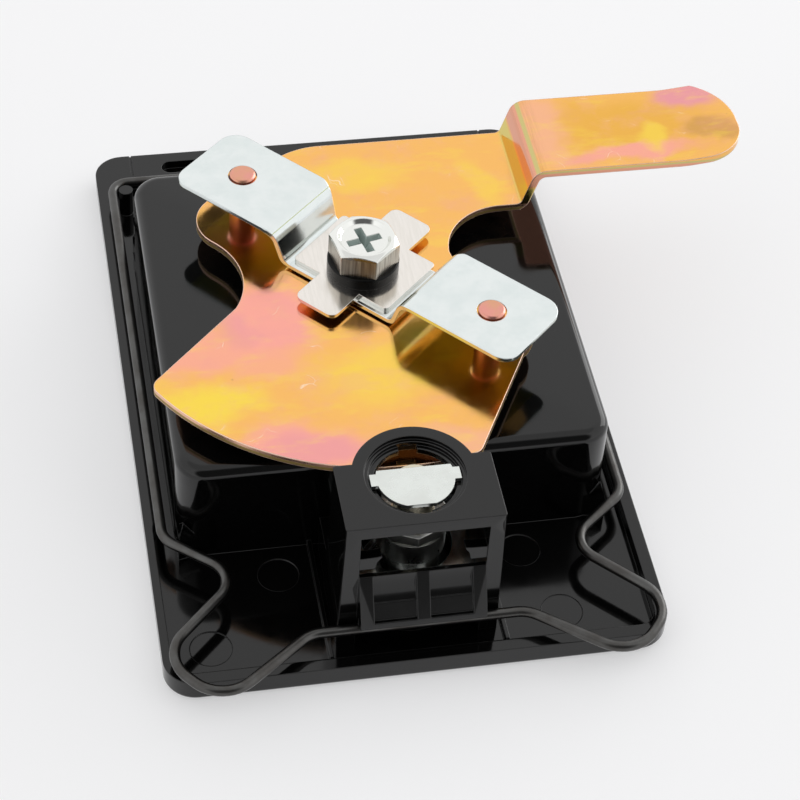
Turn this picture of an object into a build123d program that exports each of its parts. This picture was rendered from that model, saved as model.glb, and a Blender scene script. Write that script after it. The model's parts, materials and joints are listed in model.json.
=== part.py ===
from build123d import *
import math
import os

# Flush handle lock for a cabinet door, in millimetres.
# The origin is on the spindle axis, in the plane where the rear of the flange meets the door panel.
# +Z points into the cabinet, +Y to the top of the flange and +X to the side of the latch arm.

# Flange and rear box of the case
lock_drop = 56.3
flange_width = 94.0
flange_top = 69.0
flange_below_lock = 18.7
flange_corner = 6.0
flange_depth = 4.9
flange_edge = 1.2
plate_thickness = 2.4
rim_width = 2.4
rim_narrow = 1.6
rim_step = 34.0
top_band = 8.0
band_groove = 0.4
band_slot_length = 22.0
band_slot_width = 3.6
band_slot_x = -21.5
box_half_width = 41.0
box_top = 40.0
box_height = 20.1
box_corner = 6.0
box_edge = 2.2
box_wall = 2.5
box_draft = 1.0
gusset_low = 1.9
gusset_high = 6.0
gusset_leg = 4.0
keeper_offset = 22.0
keeper_half = 2.5
keeper_post = 2.2
post_radius = 1.5
rib_gap = 2.03
rib_height = 1.2
rib_thickness = 0.8
ejector_radius = 3.9
ejector_depth = 0.15
boss_rise = 2.3
boss_length = 7.2
boss_wall = 2.9

# Fits between pieces
running = 0.05
slide_gap = 0.3
seat_gap = 0.3

# Spindle, its bush and what the bolt clamps on it
shaft_radius = 7.1
bush_wall = 1.5
bush_collar = 1.9
bush_flange = 0.8
bush_stand = 0.2
hub_radius = 13.0
hub_thickness = 5.0
square_size = 10.0
bolt_radius = 3.9
bolt_depth = 15.0
thrust_washer_width = 3.5
thrust_washer_thickness = 0.8
thrust_gap = 0.4
o_ring_section = 1.6
groove_below_boss = 4.4

# Cam plate, with its fan, two rod ears and cranked latch arm
sheet = 1.6
fan_gap = 2.1
fan_start = 209.5
fan_end = 286.0
crank_foot = 35.3
crank_run = 2.8
arm_rise = 8.2
arm_low_edge = 16.3
arm_high_edge = 38.5
arm_reach = 81.5
arm_curl = 1.5
arm_curl_start = 69.0

# Rod pins, bracket, cross washer and bolt
seat_radius = 7.8
seat_height = 0.5
pin_circle = 29.9
pin_angle = 133.7
pin_radius = 2.55
pin_head_radius = 3.9
pin_head = 1.2
pin_stand = 0.6
bracket_sheet = 0.9
bracket_width = 19.0
bracket_waist = 16.4
bracket_half_length = 40.2
bracket_foot = 13.0
bracket_run = 2.4
bracket_rise = 7.7
bracket_bend = 1.8
bracket_shoulder = 3.4
bracket_corner = 3.6
bracket_tip = 4.0
bracket_tip_drop = 0.4
washer_long = 32.5
washer_narrow = 9.4
washer_short = 22.5
washer_wide = 16.2
washer_thickness = 0.8
washer_along = 0.45
washer_across = -1.2
spring_washer_radius = 7.0
spring_washer_thickness = 2.4
hex_flats = 12.0
hex_height = 5.2
hex_turn = -19.0
hex_dish_radius = 5.2
hex_dish_depth = 0.8
recess_length = 7.0
recess_width = 1.7
recess_depth = 2.6
recess_turn = 13.0

# Lock: tube of the case, sleeve, plug and disc
tube_wall = 2.0
tube_rear = 3.9
button_radius = 8.0
button_recess = 0.2
button_travel = 2.5
key_rise = 1.0
key_low = -2.0
barrel_radius = 5.5
barrel_head_radius = 6.4
barrel_head_low = 12.0
barrel_rear = 17.0
cone_below_latch = 0.2
collar_flats = 12.4
collar_height = 3.0
collar_wall = 0.6
plug_radius = 4.0
plug_head_radius = 4.8
plug_head = 1.0
plug_neck_radius = 3.6
key_slot_width = 1.3
key_slot_height = 6.2
key_slot_depth = 20.0
disc_radius = 7.1
disc_ear_reach = 8.2
disc_ear_width = 2.8
disc_flat = 2.2
disc_cut = 6.6
disc_thickness = 0.8

# Housing over the lock
housing_gap = 1.5
housing_leg = 2.8
housing_below_lock = 11.5
housing_above_lock = 3.7
ring_clear = 1.4
housing_plate = 2.8
housing_flare = 1.3
housing_corner = 1.2
housing_foot = 6.2
ring_radius = 11.5
ring_bore = 9.2
step_bore = 8.5
step_height = 0.8
ledge_bore = 7.5
ledge_depth = 1.6
ledge_notch = 1.7
catch_reach = 4.7
catch_start = 0.2
catch_low = 5.0
catch_under = 7.1
catch_lip = 7.7
catch_high = 16.5
catch_foot = 1.8
pocket_inner = 1.2
pocket_outer = 9.1
pocket_low = 8.25
pocket_step = 11.2
pocket_brow = 13.75
pocket_depth = 1.0
pocket_shelf = 0.25
barb_low = 17.9
barb_height = 3.3
barb_body = 3.0
barb_tip = 4.1
barb_thickness = 2.0

# Latch plate that holds the handle, and its two springs
latch_low = 6.5
latch_thickness = 2.0
latch_side = 0.5
latch_nose_half = 5.0
latch_nose_reach = 6.2
latch_hole_wall = 0.4
latch_bar = 2.2
latch_front_bar = 1.4
latch_from_box = 0.9
cone_gap = 0.3
latch_spring_radius = 1.5
latch_spring_wire = 0.35
latch_spring_turns = 3
latch_spring_offset = 8.0

# Handle, its hinge and spring
handle_half_width = 12.0
handle_from_wall = 4.5
handle_back = 14.0
handle_recess = 0.3
handle_plate = 4.0
handle_skirt = 3.6
handle_wall = 1.6
hinge_y = 8.0
hinge_z = 5.2
hinge_pin_radius = 2.0
cheek_radius = 5.0
cheek_inner = 6.2
cheek_outer = 10.0
lug_inner = 2.9
lug_outer = 5.9
lug_radius = 3.4
hook_length = 6.0
hook_half = 5.0
hook_depth = 2.3
spring_wire = 1.0
spring_turns = 3

# Retaining wire
wire_radius = 1.0
wire_sides = 12
wire_level = 3.3
wire_from_box = 3.1
wire_top = 56.8
wire_gap = 6.0

# Values that follow from those above
lock_y = -lock_drop
flange_bottom = lock_drop + flange_below_lock
latch_hole = button_radius + latch_hole_wall
box_above_lock = 2 * latch_hole - barrel_radius - cone_gap + latch_front_bar + latch_from_box
box_bottom = lock_drop - box_above_lock
floor = plate_thickness - flange_depth
roof = box_height - box_wall
bush_boss_rear = box_height + boss_rise
bush_boss_front = bush_boss_rear - boss_length
cam_under = bush_boss_rear + bush_stand + thrust_gap + thrust_washer_thickness
cam_top = cam_under + sheet
arm_under = cam_under + arm_rise
bracket_under = cam_top + bracket_rise
pin_top = bracket_under + bracket_sheet + pin_stand
groove_low = bush_boss_rear - groove_below_boss
bracket_flat = cam_top + seat_height + bracket_sheet
cross_top = bracket_flat + washer_thickness
bolt_seat = cross_top + spring_washer_thickness
pin_x = pin_circle * math.cos(math.radians(pin_angle))
pin_y = pin_circle * math.sin(math.radians(pin_angle))
bush_radius = shaft_radius + bush_wall
bush_boss_radius = bush_radius + boss_wall
bush_front = bush_boss_front - bush_flange
hub_rear = bush_front - seat_gap
hub_front = hub_rear - hub_thickness
tube_inner = button_radius + running + 0.02
tube_outer = tube_inner + tube_wall
key_reach = button_radius + key_rise
cone_end = latch_low - cone_below_latch
cone_start = cone_end - (button_radius - barrel_radius)
housing_inner = tube_outer + housing_gap
housing_half_width = housing_inner + housing_leg
rib_offset = housing_half_width + rib_gap
housing_front = lock_drop + housing_below_lock
housing_back = lock_drop - housing_above_lock
fan_radius = housing_back - fan_gap
housing_top = cam_top + ring_clear + housing_plate
catch_front = housing_front + catch_reach
ledge_top = housing_top - ledge_depth
disc_bottom = ledge_top + 0.2
latch_half_width = housing_inner + latch_side
latch_hole_y = lock_y + latch_hole - barrel_radius - cone_gap
latch_rear = latch_hole_y - latch_hole - latch_bar
catch_inner = -latch_rear + button_travel + seat_gap
handle_reach = box_bottom - box_wall - handle_from_wall
hook_back = handle_reach - hook_length
wire_side = box_half_width + wire_from_box
wire_front = -housing_front - wire_radius - seat_gap


def block(x0, x1, y0, y1, z0, z1):
    return Pos((x0 + x1) / 2, (y0 + y1) / 2, (z0 + z1) / 2) * Box(x1 - x0, y1 - y0, z1 - z0)


def disc(radius, z0, z1, x=0.0, y=0.0):
    return Pos(x, y, (z0 + z1) / 2) * Cylinder(radius, z1 - z0)


def rounded(width, length, corner, z0, z1, x=0.0, y=0.0, taper=0.0):
    face = Plane.XY.offset(z0) * Pos(x, y) * RectangleRounded(width, length, corner)
    return extrude(face, z1 - z0, taper=taper)


def rod_along_x(radius, x0, x1, y, z):
    return Pos((x0 + x1) / 2, y, z) * Rot(0, 90, 0) * Cylinder(radius, x1 - x0)


def tray_pocket(rim, y0, y1):
    return rounded(flange_width - 2 * rim, y1 - y0, flange_corner - rim, floor, 1, y=(y0 + y1) / 2)


def flange():
    length = flange_top + flange_bottom
    middle = (flange_top - flange_bottom) / 2
    body = rounded(flange_width, length, flange_corner, -flange_depth, 0, y=middle)
    front = body.faces().sort_by(Axis.Z)[0]
    body = fillet(front.edges(), flange_edge)
    low = -flange_bottom + rim_width
    high = flange_top - top_band
    body -= tray_pocket(rim_width, low, high)
    body -= tray_pocket(rim_narrow, low, -rim_step)
    half = band_groove / 2
    for x in (top_band - flange_width / 2, flange_width / 2 - top_band):
        body -= block(x - half, x + half, high - 1, flange_top + 1, -0.3, 1)
    slot = Pos(band_slot_x, high + top_band / 2 - 0.6) * SlotOverall(band_slot_length, band_slot_width)
    return body - extrude(Plane.XY.offset(floor + 0.6) * slot, flange_depth)


def rear_box():
    width = 2 * box_half_width
    length = box_top + box_bottom
    middle = (box_top - box_bottom) / 2
    height = box_height - floor
    grow = 2 * height * math.tan(math.radians(box_draft))
    shell = rounded(width + grow, length + grow, box_corner, floor, box_height, y=middle, taper=box_draft)
    rear = shell.faces().sort_by(Axis.Z)[-1]
    return fillet(rear.edges(), box_edge)


def front_recess():
    width = 2 * (box_half_width - box_wall)
    length = box_top + box_bottom - 2 * box_wall
    middle = (box_top - box_bottom) / 2
    corner = box_corner - 0.6 * box_wall
    hollow = rounded(width, length, corner, -flange_depth - 1, roof, y=middle, taper=box_draft / 2)
    deep = hollow.faces().sort_by(Axis.Z)[-1]
    return chamfer(deep.edges(), box_edge / 2)


def wire_keeper(x):
    side = wire_top + wire_radius
    above = wire_level + wire_radius
    left = x - keeper_half
    right = x + keeper_half
    post = block(left, right, side + 0.4, side + 0.4 + keeper_post, floor, above + 2.0)
    return post + block(left, right, side - 3.0, side + 0.4 + keeper_post, above + 0.4, above + 2.0)


def corner_gusset(x, y):
    inward = box_corner * 0.3
    apex = Vector(x * (box_half_width - inward / 2), y - math.copysign(inward / 2, y), gusset_high)
    tip = (x * (box_half_width + 0.2), y + math.copysign(1.0, y))
    beside = (x * (box_half_width - gusset_leg), y)
    along = (x * box_half_width, y - math.copysign(gusset_leg, y))
    plan = make_face(Polyline(tip, beside, along, close=True))
    foot = extrude(Plane.XY.offset(floor - 0.1) * plan, gusset_low - floor + 0.1)
    return foot + loft([Plane.XY.offset(gusset_low) * plan, Vertex(apex)])


def case():
    body = flange() + rear_box()
    post = wire_radius + seat_gap + post_radius
    half_rib = rib_thickness / 2
    for side in (-1, 1):
        body += corner_gusset(side, box_top)
        body += corner_gusset(side, -box_bottom)
        body += disc(post_radius, floor - 0.1, wire_level + 0.4, side * (wire_side - post), wire_top - post)
        body += wire_keeper(side * keeper_offset)
        rib = side * rib_offset
        body += block(rib - half_rib, rib + half_rib, rim_width - flange_bottom - 0.1, 1 - box_bottom,
                      floor - 0.1, floor + rib_height)
    body += disc(tube_outer, floor - 0.1, tube_rear, y=lock_y)
    body += disc(bush_boss_radius, roof, bush_boss_rear)
    body -= front_recess()
    body += disc(bush_boss_radius, bush_boss_front, roof + 0.1)
    body -= disc(bush_radius, bush_boss_front - 1, bush_boss_rear + 1)
    body -= disc(tube_inner, -flange_depth - 1, tube_rear + 1, y=lock_y)
    body -= block(-1.2, 1.2, lock_y - key_reach - slide_gap, lock_y, key_low - slide_gap, tube_rear + 1)
    nose = latch_nose_half + slide_gap
    body -= block(-nose, nose, -box_bottom - 2, box_wall + 1 - box_bottom,
                  latch_low - slide_gap, latch_low + latch_thickness + slide_gap)
    near = -box_bottom - 7.1
    far = lock_y - 9.3
    for x, y in ((-23.2, near), (23.2, near), (-37.8, far), (28.0, far), (-20.0, 50.5), (20.0, 50.5)):
        body -= disc(ejector_radius, floor - ejector_depth, floor + 0.5, x, y)
    return body


def catch_face(z):
    share = (catch_high - z) / (catch_high - catch_lip)
    return -housing_front - catch_start - (catch_reach - catch_start) * share


def catch_wedge():
    back = 0.1 - housing_front
    section = Polyline((back, catch_high), (catch_face(catch_high), catch_high), (-catch_front, catch_lip),
                       (-catch_front, catch_under), (back, catch_under), close=True)
    return Pos(-housing_inner, 0, 0) * extrude(Plane.YZ * make_face(section), 2 * housing_inner)


def catch_pocket(x0, x1):
    back = catch_face(catch_high)
    floor_high = catch_face(pocket_step) + pocket_depth
    floor_low = catch_face(pocket_low) + pocket_depth - pocket_shelf
    front = -catch_front - 1
    section = Polyline((front, catch_high + 0.1), (back, catch_high + 0.1), (back, pocket_brow),
                       (floor_high, pocket_step), (floor_high - pocket_shelf, pocket_step),
                       (floor_low, pocket_low), (front, pocket_low), close=True)
    return Pos(x0, 0, 0) * extrude(Plane.YZ * make_face(section), x1 - x0)


def barb():
    outline = Polyline((0, 0), (barb_body, 0), (barb_body + 0.35, 0.55 * barb_height),
                       (barb_tip, 0.88 * barb_height), (barb_tip, barb_height),
                       (barb_body, 0.95 * barb_height), (0, 0.92 * barb_height), close=True)
    plate = extrude(Plane.XZ * make_face(outline), barb_thickness)
    return Pos(-housing_inner - 0.1, 0.4 + barb_thickness - housing_front, barb_low) * plate


def lock_housing():
    width = 2 * housing_half_width
    length = housing_front - housing_back
    middle = -(housing_front + housing_back) / 2
    height = housing_top - floor
    grow = 2 * height * math.tan(math.radians(housing_flare))
    under = housing_top - housing_plate
    body = rounded(width + grow, length + grow, housing_corner, floor, housing_top, y=middle,
                   taper=housing_flare)
    body &= block(-width, width, -housing_front, 0, floor, housing_top)
    foot = housing_half_width + 0.4
    body += block(-foot, foot, -housing_back - 1, -box_bottom - 1.4, floor, housing_foot)
    body -= block(-housing_inner, housing_inner, -housing_front - 3, 3 - box_bottom, floor - 1, under)
    body += disc(ring_radius, under, housing_top, y=lock_y)
    side = housing_inner + 0.2
    body += block(-side, side, -housing_front, -catch_inner, catch_low, catch_high)
    body += block(-housing_inner, housing_inner, -housing_front - catch_foot, -catch_inner,
                  catch_low, catch_lip)
    body += catch_wedge()
    body -= catch_pocket(pocket_inner, pocket_outer) + catch_pocket(-pocket_outer, -pocket_inner)
    for x in (-latch_spring_offset, latch_spring_offset):
        seat = Pos(x, -catch_inner - 0.6, latch_low + latch_thickness / 2)
        body -= seat * Rot(90, 0, 0) * Cylinder(latch_spring_radius + 0.4, 1.2)
    body += barb() + mirror(barb(), Plane.YZ)
    groove = latch_half_width + slide_gap
    body -= block(-groove, groove, -catch_inner, -box_bottom - 0.5,
                  latch_low - slide_gap, latch_low + latch_thickness + slide_gap)
    body -= disc(ring_bore, ledge_top + step_height, housing_top + 1, y=lock_y)
    body -= disc(step_bore, ledge_top, housing_top + 1, y=lock_y)
    body -= disc(ledge_bore, under - 1, housing_top, y=lock_y)
    reach = step_bore - 0.1
    return body - block(-ledge_notch, ledge_notch, lock_y - reach, lock_y + reach, under - 1, ledge_top)


def retaining_wire():
    right = [(wire_gap / 2, wire_top), (wire_side, wire_top), (wire_side, -box_bottom - 0.4),
             (31.0, lock_y + 2.3), (47.5, lock_y - 14.3), (37.6, lock_y - 25.9), (20.1, wire_front)]
    bends = [3.5, 5.0, 5.4, 7.2, 7.2, 6.0]
    route = [(x, y, wire_level) for x, y in right]
    route += [(-x, y, wire_level) for x, y in reversed(right)]
    path = FilletPolyline(*route, radius=bends + list(reversed(bends)))
    start = Plane(origin=route[0], z_dir=(1, 0, 0))
    return sweep(start * RegularPolygon(wire_radius, wire_sides), path=path)


def bush():
    body = disc(bush_radius, bush_boss_front, bush_boss_rear + bush_stand)
    body += disc(bush_radius + bush_collar, bush_front, bush_boss_front)
    return body - disc(shaft_radius + running, bush_front - 1, bush_boss_rear + 1)


def spindle():
    body = disc(hub_radius, hub_front, hub_rear)
    for side in (-1, 1):
        x0, x1 = sorted((side * cheek_inner, side * cheek_outer))
        body += rod_along_x(cheek_radius, x0, x1, hinge_y, hinge_z)
        body += block(x0, x1, hinge_y - cheek_radius, hinge_y + cheek_radius - 1.2, hinge_z, hub_front + 0.1)
    body += disc(shaft_radius, hub_rear, cam_under)
    half = square_size / 2
    body += block(-half, half, -half, half, cam_under, bracket_flat - 0.3)
    groove = disc(shaft_radius + 1, groove_low, groove_low + o_ring_section + 0.4)
    body -= groove - disc(shaft_radius - o_ring_section, groove_low - 1, groove_low + o_ring_section + 1)
    body -= disc(bolt_radius, bolt_seat - bolt_depth - 3, bolt_seat)
    return body - rod_along_x(hinge_pin_radius, -cheek_outer - 1, cheek_outer + 1, hinge_y, hinge_z)


def o_ring():
    middle = groove_low + o_ring_section / 2 + 0.2
    round_section = RegularPolygon(o_ring_section / 2 - running, 10)
    section = Pos(shaft_radius - o_ring_section / 2, middle) * round_section
    return revolve(Plane.XZ * section, Axis.Z)


def thrust_washer():
    washer = disc(shaft_radius + thrust_washer_width, cam_under - thrust_washer_thickness, cam_under)
    return washer - disc(shaft_radius + running, cam_under - 5, cam_under + 1)


def cam_outline():
    start = math.radians(fan_start)
    end = math.radians(fan_end)
    left = (fan_radius * math.cos(start), fan_radius * math.sin(start))
    right = (fan_radius * math.cos(end), fan_radius * math.sin(end))
    lines = CenterArc((0, 0), fan_radius, fan_start, fan_end - fan_start)
    lines += Line(right, (27.0, -24.8))
    lines += ThreePointArc((27.0, -24.8), (30.1, -18.3), (27.6, -12.6))
    lines += ThreePointArc((27.6, -12.6), (21.4, -5.4), (18.1, 4.2))
    lines += ThreePointArc((18.1, 4.2), (21.8, 12.6), (30.2, arm_low_edge))
    lines += Line((30.2, arm_low_edge), (crank_foot, arm_low_edge))
    lines += Line((crank_foot, arm_low_edge), (crank_foot, arm_high_edge))
    lines += Line((crank_foot, arm_high_edge), (-3.0, arm_high_edge))
    lines += ThreePointArc((-3.0, arm_high_edge), (-8.0, 37.6), (-12.4, 35.2))
    lines += Line((-12.4, 35.2), (-26.6, 25.0))
    lines += ThreePointArc((-26.6, 25.0), (-30.2, 18.8), (-27.9, 12.6))
    lines += ThreePointArc((-27.9, 12.6), (-23.3, 3.2), (-25.6, -6.5))
    lines += Line((-25.6, -6.5), left)
    return make_face(lines)


def cam_arm():
    middle = (arm_low_edge + arm_high_edge) / 2
    half = sheet / 2
    points = [(crank_foot - 3.0, middle, cam_under + half), (crank_foot + 0.4, middle, cam_under + half),
              (crank_foot + crank_run, middle, arm_under + half), (arm_curl_start, middle, arm_under + half),
              (arm_reach + 0.5, middle, arm_under + half + arm_curl)]
    path = FilletPolyline(*points, radius=[2.0, 2.4, 25.0])
    start = Plane(origin=points[0], x_dir=(0, 1, 0), z_dir=(1, 0, 0))
    strip = sweep(start * Rectangle(arm_high_edge - arm_low_edge, sheet), path=path)
    plan = Line((20, arm_low_edge), (arm_reach - 8.5, arm_low_edge))
    plan += ThreePointArc((arm_reach - 8.5, arm_low_edge), (arm_reach - 1.9, 19.2), (arm_reach, 25.5))
    plan += ThreePointArc((arm_reach, 25.5), (arm_reach - 1.2, 32.2), (arm_reach - 6.5, arm_high_edge))
    plan += Line((arm_reach - 6.5, arm_high_edge), (20, arm_high_edge))
    plan += Line((20, arm_high_edge), (20, arm_low_edge))
    return strip & extrude(Plane.XY.offset(cam_under - 3) * make_face(plan), arm_rise + 12)


def cam():
    plate = extrude(Plane.XY.offset(cam_under) * cam_outline(), sheet)
    upright = plate.edges().filter_by(Axis.Z)
    far = [edge for edge in upright if edge.center().Y < -20 and edge.center().length > fan_radius - 4]
    body = fillet(far, 2.4) + cam_arm()
    body += disc(seat_radius, cam_top - 0.1, cam_top + seat_height)
    half = (square_size + 0.1) / 2
    body -= block(-half, half, -half, half, cam_under - 1, cam_top + 1)
    for side in (-1, 1):
        body -= disc(pin_radius, cam_under - 1, cam_top + 1, side * pin_x, side * pin_y)
    return body


def rod_pin(side):
    x = side * pin_x
    y = side * pin_y
    body = disc(pin_radius, cam_under, pin_top, x, y)
    body = chamfer(body.edges().sort_by(Axis.Z)[-1], 0.35)
    head = disc(pin_head_radius, cam_under - pin_head, cam_under, x, y)
    return body + chamfer(head.edges().sort_by(Axis.Z)[0], 0.5)


def rod_bracket():
    half = bracket_sheet / 2
    low = bracket_flat - half
    high = bracket_under + half
    end = bracket_half_length + 1
    shoulder = bracket_foot + bracket_run
    right = [(bracket_foot, low), (shoulder, high), (bracket_half_length - bracket_tip, high),
             (end, high - bracket_tip_drop)]
    points = [(-x, 0, z) for x, z in reversed(right)] + [(x, 0, z) for x, z in right]
    bends = [8.0, bracket_shoulder, bracket_bend]
    path = FilletPolyline(*points, radius=bends + list(reversed(bends)))
    start = Plane(origin=points[0], x_dir=(0, 1, 0), z_dir=path.tangent_at(0))
    strip = sweep(start * Rectangle(bracket_width, bracket_sheet), path=path)
    strip &= rounded(2 * bracket_half_length, bracket_width, bracket_corner, cam_top - 1, high + 3)
    full = bracket_width / 2
    slim = bracket_waist / 2
    near = bracket_foot - 0.5
    far = shoulder + 1.5
    for side in (-1, 1):
        notch = Polyline((-near, side * slim), (near, side * slim), (far, side * full),
                         (far, side * (full + 1)), (-far, side * (full + 1)), (-far, side * full), close=True)
        strip -= extrude(Plane.XY.offset(cam_top - 1) * make_face(notch), bracket_rise + 5)
    strip = Rot(0, 0, pin_angle) * strip
    half_square = (square_size + 0.1) / 2
    strip -= block(-half_square, half_square, -half_square, half_square, cam_top - 1, high)
    for side in (-1, 1):
        strip -= disc(pin_radius + 0.3, cam_top - 1, high + 3, side * pin_x, side * pin_y)
    return strip


def cross_washer():
    plan = RectangleRounded(washer_short, washer_wide, 0.9)
    plan += RectangleRounded(washer_narrow, washer_long, 1.6)
    plan = Pos(washer_along, washer_across) * plan - Circle(bolt_radius + 0.2)
    return Rot(0, 0, pin_angle) * extrude(Plane.XY.offset(bracket_flat) * plan, washer_thickness)


def spring_washer():
    body = disc(spring_washer_radius, cross_top, bolt_seat)
    body -= disc(bolt_radius + 0.3, cross_top - 1, bolt_seat + 1)
    body = chamfer(body.edges().filter_by(GeomType.CIRCLE).sort_by(Axis.Z)[-2:], 0.25)
    cut = Pos(spring_washer_radius - 1.5, 0, (cross_top + bolt_seat) / 2) * Rot(35, 0, 0) * Box(6, 0.9, 6)
    return Rot(0, 0, 60) * (body - cut)


def hex_bolt():
    top = bolt_seat + hex_height
    plan = RegularPolygon(hex_flats / 2, 6, major_radius=False, rotation=hex_turn)
    head = extrude(Plane.XY.offset(bolt_seat) * plan, hex_height)
    narrow = hex_flats / 2 - 0.35
    wide = narrow + hex_flats
    slope = hex_flats * math.tan(math.radians(30))
    head &= Pos(0, 0, top - slope / 2) * Cone(wide, narrow, slope)
    head -= Pos(0, 0, top - hex_dish_depth / 2) * Cone(hex_dish_radius - 0.7, hex_dish_radius, hex_dish_depth)
    for turn in (recess_turn, recess_turn + 90):
        level = Plane.XY.offset(top - hex_dish_depth + 0.1)
        wing = level * Rot(0, 0, turn) * Rectangle(recess_length, recess_width)
        head -= extrude(wing, -recess_depth, taper=14)
    return head + disc(bolt_radius, bolt_seat - bolt_depth, bolt_seat)


def button_sleeve():
    front = -flange_depth + button_recess
    body = disc(button_radius, front, cone_start, y=lock_y)
    body = chamfer(body.edges().sort_by(Axis.Z)[0], 0.6)
    cone = Cone(button_radius, barrel_radius, cone_end - cone_start)
    body += Pos(0, lock_y, (cone_start + cone_end) / 2) * cone
    body += disc(barrel_radius, cone_end, barrel_rear, y=lock_y)
    body += disc(barrel_head_radius, barrel_head_low, barrel_rear, y=lock_y)
    body += disc(barrel_radius - collar_wall, barrel_rear, barrel_rear + collar_height - 0.4, y=lock_y)
    body += block(-0.9, 0.9, lock_y - key_reach, lock_y - button_radius + 0.5, key_low, key_low + 3.4)
    body -= disc(plug_radius + running, front - 1, barrel_rear + collar_height, y=lock_y)
    return body - disc(plug_head_radius + 0.1, front - 1, front + plug_head, y=lock_y)


def barrel_collar():
    plan = Pos(0, lock_y) * RegularPolygon(collar_flats / 2, 8, major_radius=False)
    body = extrude(Plane.XY.offset(barrel_rear) * plan, collar_height)
    body = chamfer(body.edges().filter_by(Axis.Z, reverse=True), 0.4)
    bore = disc(barrel_radius - collar_wall, barrel_rear - 1, barrel_rear + collar_height + 1, y=lock_y)
    return body - bore


def key_plug():
    rear = barrel_rear + collar_height + 0.2
    front = -flange_depth + button_recess + 0.1
    body = disc(plug_radius, front, rear, y=lock_y)
    body += disc(plug_head_radius, front, front + plug_head - 0.15, y=lock_y)
    body += disc(plug_neck_radius, rear, disc_bottom, y=lock_y)
    half = key_slot_width / 2
    tall = key_slot_height / 2
    return body - block(-half, half, lock_y - tall, lock_y + tall, front - 1, front + key_slot_depth)


def stop_disc():
    top = disc_bottom + disc_thickness
    body = disc(disc_radius, disc_bottom, top, y=lock_y)
    ear = disc_ear_width / 2
    body += block(-disc_ear_reach, disc_ear_reach, lock_y - ear, lock_y + ear, disc_bottom, top)
    body -= block(-20, 20, lock_y + disc_flat, lock_y + 20, disc_bottom - 1, top + 1)
    return body - block(-20, 20, lock_y - 20, lock_y - disc_cut, disc_bottom - 1, top + 1)


def latch_plate():
    low = latch_low
    high = latch_low + latch_thickness
    nose = latch_nose_half
    front = -box_bottom - latch_from_box
    body = block(-latch_half_width, latch_half_width, latch_rear, front, low, high)
    tip = block(-nose, nose, front - 0.5, latch_nose_reach - box_bottom, low, high)
    tip = chamfer(tip.edges().filter_by(Axis.X).group_by(Axis.Y)[-1].sort_by(Axis.Z)[0], 1.2)
    body += tip
    return body - disc(latch_hole, low - 1, high + 1, y=latch_hole_y)


def coil(radius, wire, turns, pitch):
    def place(angle):
        turn = math.radians(angle)
        return Vector(radius * math.cos(turn), radius * math.sin(turn), pitch * angle / 360)

    def heading(angle):
        turn = math.radians(angle)
        return Vector(-radius * math.sin(turn), radius * math.cos(turn), pitch / math.tau).normalized()

    arcs = []
    for angle in range(0, 360 * turns, 180):
        start = place(angle)
        end = place(angle + 180)
        chord = end - start
        both = heading(angle) + heading(angle + 180)
        bend = 2 * (heading(angle).dot(heading(angle + 180)) - 1)
        lean = chord.dot(both)
        reach = (lean - math.sqrt(lean ** 2 - bend * chord.dot(chord))) / bend
        before = start + heading(angle) * reach
        after = end - heading(angle + 180) * reach
        joint = (before + after) * 0.5
        arcs.append(TangentArc(start, joint, tangent=heading(angle)))
        arcs.append(TangentArc(joint, end, tangent=(after - before).normalized()))
    points = [place(angle) for angle in range(0, 360 * turns + 1, 10)]
    gaps = [(far - near).length - wire for i, near in enumerate(points) for far in points[i + 18:]]
    print("least gap between turns", round(min(gaps), 2))
    start = Plane(origin=place(0), z_dir=heading(0))
    return sweep(start * RegularPolygon(wire / 2, 6), path=Wire(arcs))


def latch_springs():
    length = catch_inner + 1.2 + latch_rear
    wire = latch_spring_wire
    pitch = (length - wire - 0.3) / latch_spring_turns
    spring = coil(latch_spring_radius, wire, latch_spring_turns, pitch)
    lying = Rot(-90, 0, 0) * spring
    level = latch_low + latch_thickness / 2
    base = -catch_inner - 1.2 + 0.15 + wire / 2
    return [Pos(side * latch_spring_offset, base, level) * lying for side in (-1, 1)]


def handle():
    front = -flange_depth + handle_recess
    under = front + handle_plate
    corner = math.sqrt(handle_reach ** 2 - handle_half_width ** 2)
    outline = Polyline((handle_half_width, -corner), (handle_half_width, handle_back),
                       (-handle_half_width, handle_back), (-handle_half_width, -corner))
    outline += ThreePointArc((-handle_half_width, -corner), (0, -handle_reach), (handle_half_width, -corner))
    plan = fillet(make_face(outline).vertices(), 1.6)
    body = extrude(Plane.XY.offset(front) * plan, handle_plate)
    body = fillet(body.faces().sort_by(Axis.Z)[0].edges(), 1.0)
    skirt = extrude(Plane.XY.offset(under - 0.1) * plan, handle_skirt + 0.1)
    inner = handle_half_width - handle_wall
    skirt -= block(-inner, inner, -handle_reach + handle_wall + 0.6, 40, -10, 20)
    skirt -= block(-40, 40, hinge_y - cheek_radius - 2.0, 40, -10, 20)
    body += skirt
    for side in (-1, 1):
        x0, x1 = sorted((side * lug_inner, side * lug_outer))
        body += rod_along_x(lug_radius, x0, x1, hinge_y, hinge_z)
        body += block(x0, x1, hinge_y - lug_radius, hinge_y + lug_radius, under - 0.1, hinge_z)
        body += block(x0, x1, -hook_back, hinge_y - lug_radius + 0.1, under - 0.1, under + 2.0)
    hook_low = latch_low + latch_thickness + 0.4
    hook_high = hook_low + hook_depth
    body += block(-hook_half, hook_half, -hook_back - 4.4, -hook_back, under - 0.1, hook_high)
    hook = block(-hook_half, hook_half, -handle_reach, -hook_back, hook_low, hook_high)
    body += hook & disc(handle_reach, 0, hook_high + 1)
    return body - rod_along_x(hinge_pin_radius + running, -lug_outer - 1, lug_outer + 1, hinge_y, hinge_z)


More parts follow.
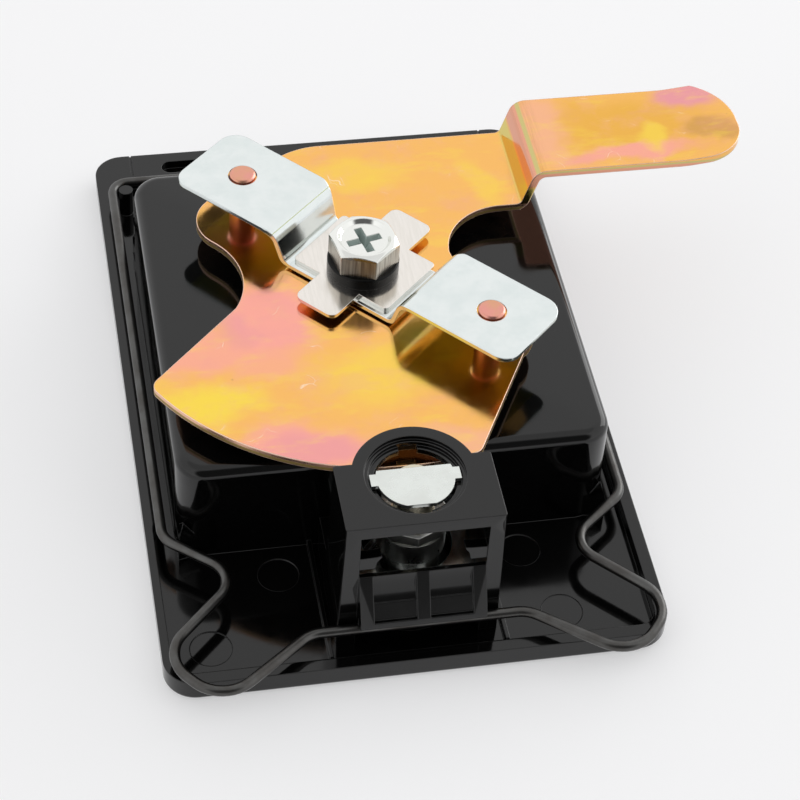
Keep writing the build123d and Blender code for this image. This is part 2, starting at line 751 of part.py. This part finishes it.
def hinge_pin():
    return rod_along_x(hinge_pin_radius, -cheek_outer, cheek_outer, hinge_y, hinge_z)


def handle_spring():
    pitch = spring_wire + 0.45
    radius = hinge_pin_radius + 0.25 + spring_wire / 2
    spring = coil(radius, spring_wire, spring_turns, pitch)
    return Pos(-spring_turns * pitch / 2, hinge_y, hinge_z) * Rot(0, 90, 0) * spring


os.makedirs("parts", exist_ok=True)
pieces = {
    "case": case(),
    "lock_housing": lock_housing(),
    "retaining_wire": retaining_wire(),
    "spindle_bush": bush(),
    "spindle": spindle(),
    "o_ring": o_ring(),
    "thrust_washer": thrust_washer(),
    "cam": cam(),
    "rod_pin_left": rod_pin(1),
    "rod_pin_right": rod_pin(-1),
    "rod_bracket": rod_bracket(),
    "cross_washer": cross_washer(),
    "spring_washer": spring_washer(),
    "hex_bolt": hex_bolt(),
    "button_sleeve": button_sleeve(),
    "barrel_collar": barrel_collar(),
    "key_plug": key_plug(),
    "stop_disc": stop_disc(),
    "latch_plate": latch_plate(),
    "latch_springs": latch_springs(),
    "handle": handle(),
    "hinge_pin": hinge_pin(),
    "handle_spring": handle_spring(),
}
for name, piece in pieces.items():
    solids = piece if isinstance(piece, list) else piece.solids()
    export_step(Compound(label=name, children=list(solids)), f"parts/{name}.step")
    print(name, len(solids), "solid(s)")
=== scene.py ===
import json
import math

import bpy
from mathutils import Matrix, Vector


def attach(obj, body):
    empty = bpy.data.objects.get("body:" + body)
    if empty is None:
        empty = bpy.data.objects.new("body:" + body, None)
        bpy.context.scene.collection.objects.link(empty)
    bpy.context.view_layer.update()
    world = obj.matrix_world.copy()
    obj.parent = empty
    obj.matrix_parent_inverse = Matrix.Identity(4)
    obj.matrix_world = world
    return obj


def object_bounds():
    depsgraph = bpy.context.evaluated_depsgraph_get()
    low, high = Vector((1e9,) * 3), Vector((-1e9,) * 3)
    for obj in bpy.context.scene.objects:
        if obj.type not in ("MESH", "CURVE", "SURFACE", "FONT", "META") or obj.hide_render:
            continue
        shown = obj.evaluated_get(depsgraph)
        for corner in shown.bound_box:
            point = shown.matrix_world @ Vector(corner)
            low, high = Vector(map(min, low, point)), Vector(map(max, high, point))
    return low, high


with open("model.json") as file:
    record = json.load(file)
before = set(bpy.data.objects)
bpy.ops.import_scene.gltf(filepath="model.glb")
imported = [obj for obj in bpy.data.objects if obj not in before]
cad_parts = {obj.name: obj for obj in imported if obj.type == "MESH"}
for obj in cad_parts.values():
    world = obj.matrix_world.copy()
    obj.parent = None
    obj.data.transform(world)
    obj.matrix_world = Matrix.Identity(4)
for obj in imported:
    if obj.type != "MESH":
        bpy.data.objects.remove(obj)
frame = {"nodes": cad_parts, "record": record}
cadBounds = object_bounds()
nodes = frame["nodes"]
mm = 0.001
print("frame loaded:", len(nodes), "nodes")


def toLinear(hexColour):
    channels = [int(hexColour[i:i + 2], 16) / 255 for i in (1, 3, 5)]
    return [c / 12.92 if c <= 0.04045 else ((c + 0.055) / 1.055) ** 2.4 for c in channels] + [1.0]


def addNode(tree, kind, props=None, inputs=None):
    node = tree.nodes.new(kind)
    for name, value in (props or {}).items():
        setattr(node, name, value)
    for name, value in (inputs or {}).items():
        if isinstance(value, bpy.types.NodeSocket):
            tree.links.new(value, node.inputs[name])
        else:
            node.inputs[name].default_value = value
    return node


def startMaterial(name, **shaderInputs):
    material = bpy.data.materials.new(name)
    material.use_nodes = True
    tree = material.node_tree
    shader = tree.nodes["Principled BSDF"]
    for socket, value in shaderInputs.items():
        shader.inputs[socket.replace("_", " ")].default_value = value
    place = addNode(tree, "ShaderNodeTexCoord").outputs["Object"]
    return material, tree, shader, place


def addNoise(tree, place, size, detail=2.0, rough=0.5):
    # size is the width of one feature in metres
    return addNode(tree, "ShaderNodeTexNoise", inputs={
        "Vector": place, "Scale": 1 / size, "Detail": detail, "Roughness": rough})


def addRamp(tree, factor, low, high, outLow=0.0, outHigh=1.0):
    ramp = addNode(tree, "ShaderNodeMapRange", {"interpolation_type": "SMOOTHSTEP"}, {
        "Value": factor, "From Min": low, "From Max": high, "To Min": outLow, "To Max": outHigh})
    return ramp.outputs["Result"]


def addMath(tree, operation, first, second=0.0, third=0.0):
    node = addNode(tree, "ShaderNodeMath", {"operation": operation}, {0: first, 1: second, 2: third})
    return node.outputs["Value"]


def mixColour(tree, factor, first, second):
    # 0, 6, 7 and 2 are the colour sockets of the node that mixes every kind of value
    return addNode(tree, "ShaderNodeMix", {"data_type": "RGBA"}, {0: factor, 6: first, 7: second}).outputs[2]


def stretch(tree, place, scale, turn=0.0):
    return addNode(tree, "ShaderNodeMapping", inputs={
        "Vector": place, "Scale": scale, "Rotation": (0, 0, math.radians(turn))}).outputs["Vector"]


def addBand(tree, place, low, high, soft=0.04):
    # one between two heights given in millimetres, nought outside them
    height = addNode(tree, "ShaderNodeSeparateXYZ", inputs={"Vector": place}).outputs["Z"]
    above = addRamp(tree, height, (low - soft) * mm, (low + soft) * mm)
    below = addRamp(tree, height, (high - soft) * mm, (high + soft) * mm, 1.0, 0.0)
    return addMath(tree, "MULTIPLY", above, below)


def addCorner(tree, radius):
    # a normal that rounds corners by the radius in metres, and a mask that is one where it turns most
    corner = addNode(tree, "ShaderNodeBevel", {"samples": 8}, {"Radius": radius}).outputs["Normal"]
    flat = addNode(tree, "ShaderNodeNewGeometry").outputs["Normal"]
    match = addNode(tree, "ShaderNodeVectorMath", {"operation": "DOT_PRODUCT"}, {
        0: corner, 1: flat}).outputs["Value"]
    return corner, addRamp(tree, match, 0.995, 0.86)


def addRelief(tree, shader, height, distance, corner=None):
    bump = addNode(tree, "ShaderNodeBump", inputs={"Height": height, "Strength": 1.0, "Distance": distance})
    if corner:
        tree.links.new(corner, bump.inputs["Normal"])
    tree.links.new(bump.outputs["Normal"], shader.inputs["Normal"])


def addSpecks(tree, place, spacing, radius, share):
    # small round dots with soft rims, in a share of the cells of the given spacing
    cells = addNode(tree, "ShaderNodeTexVoronoi", inputs={
        "Vector": place, "Scale": 1 / spacing, "Randomness": 1.0})
    dot = addRamp(tree, cells.outputs["Distance"], radius / spacing * 0.6, radius / spacing, 1.0, 0.0)
    red = addNode(tree, "ShaderNodeSeparateColor", inputs={"Color": cells.outputs["Color"]}).outputs["Red"]
    return addMath(tree, "MULTIPLY", dot, addMath(tree, "LESS_THAN", red, share))


# Injection-moulded ABS from a polished tool: a near-black body with a clear skin that mirrors the studio,
# faintly wavy where it shrank, with rounded corners that catch the light and a few grains of dust; the
# rounded corners are also painted a lighter grey, a painted highlight that is partly rubbed wear
mouldedBlackLook = {
    "colour": "#060606", "dust": "#a4a4a2", "edgeHighlightAndWear": "#262626",
    "gloss": 0.06, "hazeGloss": 0.07, "rubbedGloss": 0.24,
    "cloud": 7 * mm, "cloudHeight": 0.04, "wave": 16 * mm, "waveHeight": 0.035 * mm, "edge": 0.28 * mm,
    "dustSpacing": 2.6 * mm, "dustSize": 0.09 * mm, "dustShare": 0.05,
}


def makeMouldedBlack(look=mouldedBlackLook):
    material, tree, shader, place = startMaterial("moulded black ABS", IOR=1.47)
    corner, edgeHighlightAndWear = addCorner(tree, look["edge"])
    cloud = addNoise(tree, place, look["cloud"], detail=5.0, rough=0.6).outputs["Fac"]
    rough = addRamp(tree, cloud, 0.35, 0.75, look["gloss"], look["gloss"] + look["hazeGloss"])
    rough = addMath(tree, "MULTIPLY_ADD", edgeHighlightAndWear, look["rubbedGloss"], rough)
    tree.links.new(rough, shader.inputs["Roughness"])
    dust = addSpecks(tree, place, look["dustSpacing"], look["dustSize"], look["dustShare"])
    # painted highlight, partly rubbed wear: the rounded corners are painted a lighter grey
    tint = mixColour(tree, edgeHighlightAndWear, toLinear(look["colour"]), toLinear(look["edgeHighlightAndWear"]))
    tree.links.new(mixColour(tree, dust, tint, toLinear(look["dust"])), shader.inputs["Base Color"])
    wave = addNoise(tree, place, look["wave"], detail=1.0).outputs["Fac"]
    height = addMath(tree, "MULTIPLY_ADD", cloud, look["cloudHeight"], wave)
    addRelief(tree, shader, height, look["waveHeight"], corner)
    return material


# Yellow chromate dipped over zinc plate: a thin film over a mirror, whose tint drifts with its thickness from
# lemon through orange to salmon, in soft pools; fine crackle lines where the sheet was handled
yellowChromateLook = {
    "film": "#f4b968", "salmon": "#f6a899", "lemon": "#f5d554", "peach": "#f3b48e", "gold": "#e9b150",
    "rose": "#e79ba0", "tan": "#c0905a", "olive": "#c8ab62", "scratch": "#fff0d8", "cutEdge": "#f4c4a8",
    "tornEdge": "#a8905a", "pinhole": "#7b6a4e", "edgeHighlightAndWear": "#f8d9c8", "bendReflectionStreak": "#a8714c",
    "slopeFoot": "#dac66c", "slopeHead": "#e0a085", "armEdge": "#cbbd7e",
    "gloss": 0.1, "hazeGloss": 0.09, "haze": 4 * mm, "edge": 0.35 * mm,
    "drift": 13 * mm, "driftReach": 14 * mm, "poolRim": (0.45, 1.25),
    "wave": 14 * mm, "waveHeight": 0.05 * mm,
    "crackleCell": 5 * mm, "crackleWidth": 0.012, "crackleCloud": 6 * mm, "crackleWeight": 0.55,
    "pinholeSpacing": 3.2 * mm, "pinholeSize": 0.14 * mm, "pinholeShare": 0.07,
    "crankStart": (33.5, 35.5), "crankEnd": (39.5, 41.5), "crankSide": (13, 15),
    "streakWidth": 0.8 * mm, "streakGrain": (1, 0.04, 0.3), "bendReflectionWeight": 0.25,
    "cutReach": (23.0, 25.3), "tornReach": (23.9, 24.6, 0.1),
    "scratchGloss": 0.3, "cutGloss": 0.15, "tornGloss": 0.25, "rubbedGloss": 0.3,
    # tint, place in the sheet's plane, width, height and weight, in millimetres
    "pools": [
        ("salmon", -20, -9, 11, 12, 1.0), ("salmon", -33, -19, 12, 6, 0.8), ("salmon", -18, -44, 15, 7, 1.0),
        ("salmon", -20, -23, 7, 6, 0.6), ("lemon", -33, -31, 10, 5, 1.0), ("lemon", 0, -27, 14, 10, 0.6),
        ("lemon", 3, 29, 11, 5, 0.5), ("lemon", 28, 24, 4, 8, 0.5), ("peach", 14, -47, 16, 5, 0.9),
        ("olive", 12, -20, 8, 5, 0.8), ("salmon", -24, 12, 7, 6, 0.8), ("gold", 61, 28, 20, 12, 0.95),
        ("peach", 42, 29, 6, 12, 0.9), ("salmon", 57, 20, 16, 2.5, 0.9), ("rose", 76, 37, 8, 5, 1.0),
        ("lemon", 63, 24, 5, 4, 0.7), ("tan", 77, 25, 6, 4, 0.55), ("rose", -16, -44, 9, 5, 0.6),
        ("rose", -27, -12, 5, 5, 0.5),
    ],
    # tint, width of one fleck, how far it is drawn out, weight
    "flecks": [("peach", 6 * mm, (1, 1, 1), 0.26), ("lemon", 4 * mm, (0.35, 1, 1), 0.3),
               ("rose", 7 * mm, (0.6, 1, 1), 0.16)],
    # tint between two heights, with a soft border, in millimetres
    "heights": [("slopeFoot", 25.8, 29.2, 0.4), ("slopeHead", 29.6, 33.0, 0.4), ("armEdge", 32.8, 33.3, 0.1)],
}


def addPool(tree, bend, tint, look, pool):
    name, x, y, wide, tall, weight = pool
    # on average the drift moves a place by half its reach, which is given back here
    half = look["driftReach"] / 2
    offset = addNode(tree, "ShaderNodeMapping", {"vector_type": "TEXTURE"}, {
        "Vector": bend, "Location": (x * mm + half, y * mm + half, 0), "Scale": (wide * mm, tall * mm, 1.0)})
    away = addNode(tree, "ShaderNodeVectorMath", {"operation": "LENGTH"}, {0: offset.outputs["Vector"]})
    cover = addRamp(tree, away.outputs["Value"], *look["poolRim"], weight, 0.0)
    return mixColour(tree, cover, tint, toLinear(look[name]))


def addCrankStreaks(tree, place, look):
    # dark streaks painted along the bends of the crank: a painted reflection, standing in for the stripes
    # that rounder bends would mirror
    grain = stretch(tree, place, look["streakGrain"])
    streak = addNoise(tree, grain, look["streakWidth"], detail=4.0, rough=0.7).outputs["Fac"]
    across = addNode(tree, "ShaderNodeSeparateXYZ", inputs={"Vector": place})
    start, end, side = [[edge * mm for edge in look[key]] for key in ("crankStart", "crankEnd", "crankSide")]
    rise = addRamp(tree, across.outputs["X"], *start)
    fall = addRamp(tree, across.outputs["X"], *end, 1.0, 0.0)
    bent = addMath(tree, "MULTIPLY", rise, fall)
    bent = addMath(tree, "MULTIPLY", bent, addRamp(tree, across.outputs["Y"], *side))
    return addMath(tree, "MULTIPLY", bent, addRamp(tree, streak, 0.4, 0.7, 0.0, look["bendReflectionWeight"]))


def makeYellowChromate(look=yellowChromateLook):
    material, tree, shader, place = startMaterial("yellow chromate on zinc", Metallic=1.0)
    drift = addNoise(tree, place, look["drift"], detail=3.0, rough=0.55)
    bend = addNode(tree, "ShaderNodeVectorMath", {"operation": "MULTIPLY_ADD"}, {
        0: drift.outputs["Color"], 1: (look["driftReach"], look["driftReach"], 0), 2: place}).outputs[0]
    tint = toLinear(look["film"])
    for pool in look["pools"]:
        tint = addPool(tree, bend, tint, look, pool)
    for name, size, squash, weight in look["flecks"]:
        fleck = addNoise(tree, stretch(tree, place, squash), size, detail=5.0, rough=0.62).outputs["Fac"]
        tint = mixColour(tree, addRamp(tree, fleck, 0.5, 0.68, 0.0, weight), tint, toLinear(look[name]))
    crackle = addNode(tree, "ShaderNodeTexVoronoi", {"feature": "DISTANCE_TO_EDGE"}, {
        "Vector": bend, "Scale": 1 / look["crackleCell"], "Randomness": 1.0})
    line = addRamp(tree, crackle.outputs["Distance"], 0.0, look["crackleWidth"], 1.0, 0.0)
    # the crackle shows in a few clouded places only
    cloud = addNoise(tree, place, look["crackleCloud"]).outputs["Fac"]
    scratch = addMath(tree, "MULTIPLY", line, addRamp(tree, cloud, 0.63, 0.68, 0.0, look["crackleWeight"]))
    tint = mixColour(tree, scratch, tint, toLinear(look["scratch"]))
    # pinholes in the plate show dark through the film
    pinholes = addSpecks(tree, place, look["pinholeSpacing"], look["pinholeSize"], look["pinholeShare"])
    tint = mixColour(tree, pinholes, tint, toLinear(look["pinhole"]))
    # painted reflection: dark streaks along the crank's bends
    tint = mixColour(tree, addCrankStreaks(tree, place, look), tint, toLinear(look["bendReflectionStreak"]))
    for name, low, high, soft in look["heights"]:
        tint = mixColour(tree, addBand(tree, place, low, high, soft), tint, toLinear(look[name]))
    # the sheared edge: burnished under its top corner, torn and darker below
    cut = addBand(tree, place, *look["cutReach"])
    tint = mixColour(tree, cut, tint, toLinear(look["cutEdge"]))
    torn = addBand(tree, place, *look["tornReach"])
    tint = mixColour(tree, torn, tint, toLinear(look["tornEdge"]))
    # painted highlight, partly rubbed wear: the rounded top corners are painted a pale pink-white
    corner, edgeHighlightAndWear = addCorner(tree, look["edge"])
    tint = mixColour(tree, edgeHighlightAndWear, tint, toLinear(look["edgeHighlightAndWear"]))
    tree.links.new(tint, shader.inputs["Base Color"])
    haze = addNoise(tree, place, look["haze"], detail=5.0, rough=0.6).outputs["Fac"]
    rough = addRamp(tree, haze, 0.3, 0.75, look["gloss"], look["gloss"] + look["hazeGloss"])
    duller = {"scratchGloss": scratch, "cutGloss": cut, "tornGloss": torn, "rubbedGloss": edgeHighlightAndWear}
    for name, mask in duller.items():
        rough = addMath(tree, "MULTIPLY_ADD", mask, look[name], rough)
    tree.links.new(rough, shader.inputs["Roughness"])
    wave = addNoise(tree, place, look["wave"]).outputs["Fac"]
    addRelief(tree, shader, wave, look["waveHeight"], corner)
    return material


# Plated sheet and turned parts: a metal mirror whose clearness follows its polish, with the grain of rolling,
# brushing or turning drawn out one way; a band between two heights may have its own colour. Relief is in mm
def makePlated(name, colour, shade, gloss, edge=0.2 * mm, grain=(1, 1, 1), grainSize=5 * mm, turn=0.0,
               relief=0.02, haze=0.08, rubbedGloss=0.2, band=None, bandColour=None, bandGloss=0.0):
    material, tree, shader, place = startMaterial(name, Metallic=1.0)
    along = stretch(tree, place, grain, turn)
    cloud = addNoise(tree, along, grainSize, detail=4.0, rough=0.6).outputs["Fac"]
    tint = mixColour(tree, addRamp(tree, cloud, 0.3, 0.7), toLinear(colour), toLinear(shade))
    rough = addRamp(tree, cloud, 0.3, 0.7, gloss, gloss + haze)
    if band:
        where = addBand(tree, place, *band)
        tint = mixColour(tree, where, tint, toLinear(bandColour))
        rough = addMath(tree, "MULTIPLY_ADD", where, bandGloss, rough)
    corner = None
    if edge:
        corner, edgeHighlightAndWear = addCorner(tree, edge)
        rough = addMath(tree, "MULTIPLY_ADD", edgeHighlightAndWear, rubbedGloss, rough)
    tree.links.new(tint, shader.inputs["Base Color"])
    tree.links.new(rough, shader.inputs["Roughness"])
    addRelief(tree, shader, cloud, relief * mm, corner)
    return material


# Bright zinc on a forged head: the flats keep the upright lines of their brushing over a darker brown-grey
# that is a painted reflection, the dished top is smooth, and the cross recess, below the brushed height and
# inside its reach in millimetres, is dull and painted a darker grey-green as painted shade
boltLook = {
    "colour": "#e9eae6", "flat": "#9c948c", "line": "#d9d6cc", "shadedRecess": "#cdd6d3",
    "gloss": 0.12, "brushGloss": 0.2, "recessGloss": 0.5, "brushTop": 34.2, "recessReach": (4.4, 4.6),
    "lineGrain": (1, 1, 0.03), "lineWidth": 0.3 * mm, "lineDepth": 0.012 * mm, "edge": 0.25 * mm,
}


def makeBoltZinc(look=boltLook):
    material, tree, shader, place = startMaterial("bright zinc on the bolt", Metallic=1.0)
    upright = stretch(tree, place, look["lineGrain"])
    lines = addNoise(tree, upright, look["lineWidth"], detail=3.0, rough=0.6).outputs["Fac"]
    low = addBand(tree, place, 0.0, look["brushTop"])
    outward = addNode(tree, "ShaderNodeVectorMath", {"operation": "LENGTH"}, {
        0: stretch(tree, place, (1, 1, 0))}).outputs["Value"]
    inner, outer = (reach * mm for reach in look["recessReach"])
    sides = addMath(tree, "MULTIPLY", low, addRamp(tree, outward, inner, outer))
    shadedRecess = addMath(tree, "SUBTRACT", low, sides)
    # painted reflection: the flats are painted a darker brown-grey under their brushing lines, for the washer
    # and cam they mirror
    tint = mixColour(tree, addRamp(tree, lines, 0.3, 0.7), toLinear(look["flat"]), toLinear(look["line"]))
    tint = mixColour(tree, sides, toLinear(look["colour"]), tint)
    # painted shade: the cross recess is painted a darker grey-green
    tree.links.new(mixColour(tree, shadedRecess, tint, toLinear(look["shadedRecess"])), shader.inputs["Base Color"])
    rough = addMath(tree, "MULTIPLY_ADD", sides, look["brushGloss"], look["gloss"])
    rough = addMath(tree, "MULTIPLY_ADD", shadedRecess, look["recessGloss"], rough)
    tree.links.new(rough, shader.inputs["Roughness"])
    brushing = addMath(tree, "MULTIPLY", lines, sides)
    addRelief(tree, shader, brushing, look["lineDepth"], addCorner(tree, look["edge"])[0])
    return material


# Dark coatings, rubber and plastics: a plain body under a sheen, with a fine grain. Relief is in mm
def makeCoated(name, colour, gloss, ior=1.5, edge=0.2 * mm, grainSize=0.5 * mm, relief=0.004, haze=0.04):
    material, tree, shader, place = startMaterial(name, Base_Color=toLinear(colour), IOR=ior)
    cloud = addNoise(tree, place, grainSize, detail=3.0).outputs["Fac"]
    tree.links.new(addRamp(tree, cloud, 0.3, 0.7, gloss - haze, gloss + haze), shader.inputs["Roughness"])
    corner = addCorner(tree, edge)[0] if edge else None
    addRelief(tree, shader, cloud, relief * mm, corner)
    return material


finishes = {
    "moulded_black": makeMouldedBlack(),
    "black_spring_wire": makePlated("black oiled spring wire", "#5c5c5b", "#4e4c4a", 0.29, edge=0.0,
                                    relief=0.004),
    "acetal": makeCoated("natural acetal", "#e6e2d6", 0.4),
    "cast_zinc_black": makeCoated("black powder coat on cast zinc", "#101011", 0.4, edge=0.3 * mm,
                                  grainSize=0.3 * mm, relief=0.01),
    "seal_rubber": makeCoated("black nitrile rubber", "#0d0d0d", 0.6, edge=0.0),
    "bright_zinc_plate": makePlated("bright zinc plate", "#e6ebea", "#dde4e3", 0.11, edge=0.25 * mm,
                                    relief=0.012),
    "yellow_chromate": makeYellowChromate(),
    "coppered_steel": makePlated("coppered rivet steel", "#e29b90", "#dba682", 0.3, edge=0.3 * mm),
    "black_spring_steel": makeCoated("black oxide spring steel", "#030303", 0.3, ior=1.3),
    "bright_zinc_bolt": makeBoltZinc(),
    "nickel_plate": makePlated("nickel plate on cast zinc", "#d8d8d4", "#cfcfcb", 0.26),
    "brass_nickel": makePlated("nickel plate on brass", "#d9d2bd", "#d0c9b3", 0.2),
    "bare_spring_steel": makePlated("drawn spring steel", "#b9b9b9", "#adadad", 0.28, edge=0.0),
}
# Pieces that share a plating but not its polish; the bracket's arms also carry painted shade on their
# underside
nodeFinishes = {
    "cross_washer": makePlated("bright zinc on stamped sheet", "#e9e4de", "#e4dfd8", 0.14, edge=0.15 * mm,
                               grain=(1, 0.08, 1), grainSize=0.5 * mm, turn=43.7, relief=0.0006),
    # painted shade: a dark olive band on the underside of the raised arms, which the cam mirrors, with a
    # duller finish
    "rod_bracket": makePlated("bright zinc with painted shade under the arms", "#e3e8e7", "#dbe2e1", 0.1, edge=0.25 * mm,
                              relief=0.01, band=(33.06, 33.14), bandColour="#8d9648", bandGloss=0.25),
    "stop_disc": makePlated("satin zinc plate", "#e0e4e0", "#d9dcd8", 0.24, edge=0.15 * mm),
}
print("finishes made:", len(finishes) + len(nodeFinishes))


# Smooth shading up to the given angle between faces, so that flats stay flat and curves stay round
def makeSmoothing(angle=38):
    tree = bpy.data.node_groups.new("smooth by angle", "GeometryNodeTree")
    tree.interface.new_socket("Geometry", in_out="INPUT", socket_type="NodeSocketGeometry")
    limit = tree.interface.new_socket("Limit", in_out="INPUT", socket_type="NodeSocketFloat")
    limit.default_value = math.radians(angle)
    tree.interface.new_socket("Geometry", in_out="OUTPUT", socket_type="NodeSocketGeometry")
    start = addNode(tree, "NodeGroupInput")
    faces = addNode(tree, "GeometryNodeSetShadeSmooth", {"domain": "FACE"}, {
        "Geometry": start.outputs["Geometry"]})
    angles = addNode(tree, "GeometryNodeInputMeshEdgeAngle").outputs["Unsigned Angle"]
    sharp = addNode(tree, "FunctionNodeCompare", {"data_type": "FLOAT", "operation": "GREATER_THAN"},
                    {"A": angles, "B": start.outputs["Limit"]}).outputs["Result"]
    edges = addNode(tree, "GeometryNodeSetShadeSmooth", {"domain": "EDGE"}, {
        "Geometry": faces.outputs["Geometry"], "Selection": sharp, "Shade Smooth": False})
    finish = addNode(tree, "NodeGroupOutput")
    tree.links.new(edges.outputs["Geometry"], finish.inputs["Geometry"])
    return tree


weldReach = 0.002 * mm
smoothing = makeSmoothing()
for entry in frame["record"]["subparts"]:
    piece = nodes[entry["node"]]
    piece.data.materials.clear()
    piece.data.materials.append(nodeFinishes.get(entry["node"], finishes[entry["material_slot"]]))
    weld = piece.modifiers.new("weld", "WELD")
    weld.merge_threshold = weldReach
    piece.modifiers.new("smooth by angle", "NODES").node_group = smoothing
print("nodes finished")

# Fine rings that the ejector pins left on the tray's floor and top band, in millimetres
ejectorRings = {
    "places": [(-23.2, -50.1), (23.2, -50.1), (-37.8, -65.6), (28.0, -65.6), (-20.0, 50.5), (20.0, 50.5)],
    "height": -2.5, "radius": 3.95, "flash": 0.05, "roundSteps": 64, "flashSteps": 8,
}


def makeRingTree(look):
    tree = bpy.data.node_groups.new("ejector rings", "GeometryNodeTree")
    tree.interface.new_socket("Geometry", in_out="INPUT", socket_type="NodeSocketGeometry")
    radius = tree.interface.new_socket("Radius", in_out="INPUT", socket_type="NodeSocketFloat")
    radius.default_value = look["radius"] * mm
    tree.interface.new_socket("Geometry", in_out="OUTPUT", socket_type="NodeSocketGeometry")
    start = addNode(tree, "NodeGroupInput")
    circle = addNode(tree, "GeometryNodeCurvePrimitiveCircle", inputs={
        "Resolution": look["roundSteps"], "Radius": start.outputs["Radius"]})
    section = addNode(tree, "GeometryNodeCurvePrimitiveCircle", inputs={
        "Resolution": look["flashSteps"], "Radius": look["flash"] * mm})
    ring = addNode(tree, "GeometryNodeCurveToMesh", inputs={
        "Curve": circle.outputs["Curve"], "Profile Curve": section.outputs["Curve"]})
    spread = addNode(tree, "GeometryNodeInstanceOnPoints", inputs={
        "Points": start.outputs["Geometry"], "Instance": ring.outputs["Mesh"]})
    real = addNode(tree, "GeometryNodeRealizeInstances", inputs={"Geometry": spread.outputs["Instances"]})
    coat = addNode(tree, "GeometryNodeSetMaterial", inputs={
        "Geometry": real.outputs["Geometry"], "Material": finishes["moulded_black"]})
    finish = addNode(tree, "NodeGroupOutput")
    tree.links.new(coat.outputs["Geometry"], finish.inputs["Geometry"])
    return tree


def addEjectorRings(look=ejectorRings):
    seeds = bpy.data.meshes.new("ejector ring places")
    seeds.from_pydata([(x * mm, y * mm, look["height"] * mm) for x, y in look["places"]], [], [])
    rings = bpy.data.objects.new("ejectorRings", seeds)
    bpy.context.scene.collection.objects.link(rings)
    rings.modifiers.new("ejector rings", "NODES").node_group = makeRingTree(look)
    reader = bpy.context.evaluated_depsgraph_get()
    plain = bpy.data.meshes.new_from_object(rings.evaluated_get(reader), depsgraph=reader)
    rings.modifiers.clear()
    rings.data = plain
    rings.data.shade_smooth()
    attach(rings, "case_body")


addEjectorRings()
print("ejector rings made")

# Floor and studio: a white paper sweep under a bright sky that is dark where the photographer stands
studio = {
    "floorColour": "#f9f9fa", "floorSize": 6, "floorGlow": 0.45,
    "front": 1.2, "back": 1.05, "backFrom": (-0.9, 0.2), "zenith": 0.8, "zenithFrom": (0.83, 0.87),
    "dark": 0.1, "darkTowards": (-0.03, -0.86, 0.51), "darkWidth": (0.74, 0.9),
    "keyPlace": (1.0, 0.5, 0.35), "keySize": 0.8, "keyPower": 4.2,
}


def makeFloor():
    # just under the flange, whose face would otherwise share the floor's plane
    below = cadBounds[0].z - 0.1 * mm
    bpy.ops.mesh.primitive_plane_add(size=studio["floorSize"], location=(0, 0, below))
    floor = bpy.context.object
    floor.name = "floor"
    colour = toLinear(studio["floorColour"])
    material, tree, shader = startMaterial("paper sweep", Base_Color=colour, Roughness=0.9)[:3]
    # the paper glows a little where it is seen or mirrored, which keeps the shadow pale
    glow = addNode(tree, "ShaderNodeEmission", inputs={"Color": colour, "Strength": 1.0})
    path = addNode(tree, "ShaderNodeLightPath")
    seen = addMath(tree, "MAXIMUM", path.outputs["Is Camera Ray"], path.outputs["Is Glossy Ray"])
    seen = addMath(tree, "MAXIMUM", seen, path.outputs["Is Transmission Ray"])
    blend = addNode(tree, "ShaderNodeMixShader", inputs={
        0: addMath(tree, "MULTIPLY", seen, studio["floorGlow"]), 1: shader.outputs["BSDF"],
        2: glow.outputs["Emission"]})
    tree.links.new(blend.outputs["Shader"], tree.nodes["Material Output"].inputs["Surface"])
    floor.data.materials.append(material)


def makeWorld():
    world = bpy.data.worlds.new("studio")
    bpy.context.scene.world = world
    world.use_nodes = True
    tree = world.node_tree
    direction = addNode(tree, "ShaderNodeTexCoord").outputs["Generated"]
    split = addNode(tree, "ShaderNodeSeparateXYZ", inputs={"Vector": direction})
    level = addRamp(tree, split.outputs["Y"], *studio["backFrom"], studio["front"], studio["back"])
    facing = addNode(tree, "ShaderNodeVectorMath", {"operation": "DOT_PRODUCT"}, {
        0: direction, 1: studio["darkTowards"]}).outputs["Value"]
    bright = addRamp(tree, facing, *studio["darkWidth"], 1.0, studio["dark"])
    overhead = addRamp(tree, split.outputs["Z"], *studio["zenithFrom"], 1.0, studio["zenith"])
    strength = addMath(tree, "MULTIPLY", addMath(tree, "MULTIPLY", level, bright), overhead)
    tree.links.new(strength, tree.nodes["Background"].inputs["Strength"])
    tree.nodes["Background"].inputs["Color"].default_value = (1.0, 1.0, 1.0, 1.0)


def addSoftbox(name, place, size, power):
    light = bpy.data.lights.new(name, "AREA")
    light.shape = "SQUARE"
    light.size = size
    light.energy = power
    lamp = bpy.data.objects.new(name, light)
    bpy.context.scene.collection.objects.link(lamp)
    lamp.location = place
    lamp.rotation_euler = Vector(place).to_track_quat("Z", "Y").to_euler()


# The photograph's camera, found from the flange, box, pins and bolt: millimetres and degrees
view = {
    "place": (-69.54, -331.28, 347.55), "aim": (4.73, -20.03, 10.0), "roll": 4.514, "lens": 107.835,
    "sensor": 36,
}


def makeCamera():
    data = bpy.data.cameras.new("camera")
    data.sensor_width = view["sensor"]
    data.lens = view["lens"]
    camera = bpy.data.objects.new("camera", data)
    bpy.context.scene.collection.objects.link(camera)
    place = Vector(view["place"]) * mm
    aim = Vector(view["aim"]) * mm
    roll = Matrix.Rotation(math.radians(view["roll"]), 3, "Z")
    turn = (aim - place).to_track_quat("-Z", "Y").to_matrix() @ roll
    camera.location = place
    camera.rotation_mode = "QUATERNION"
    camera.rotation_quaternion = turn.to_quaternion()
    bpy.context.scene.camera = camera


makeFloor()
makeWorld()
addSoftbox("key softbox", studio["keyPlace"], studio["keySize"], studio["keyPower"])
makeCamera()
bpy.context.scene.view_settings.view_transform = "Standard"
print("studio made")
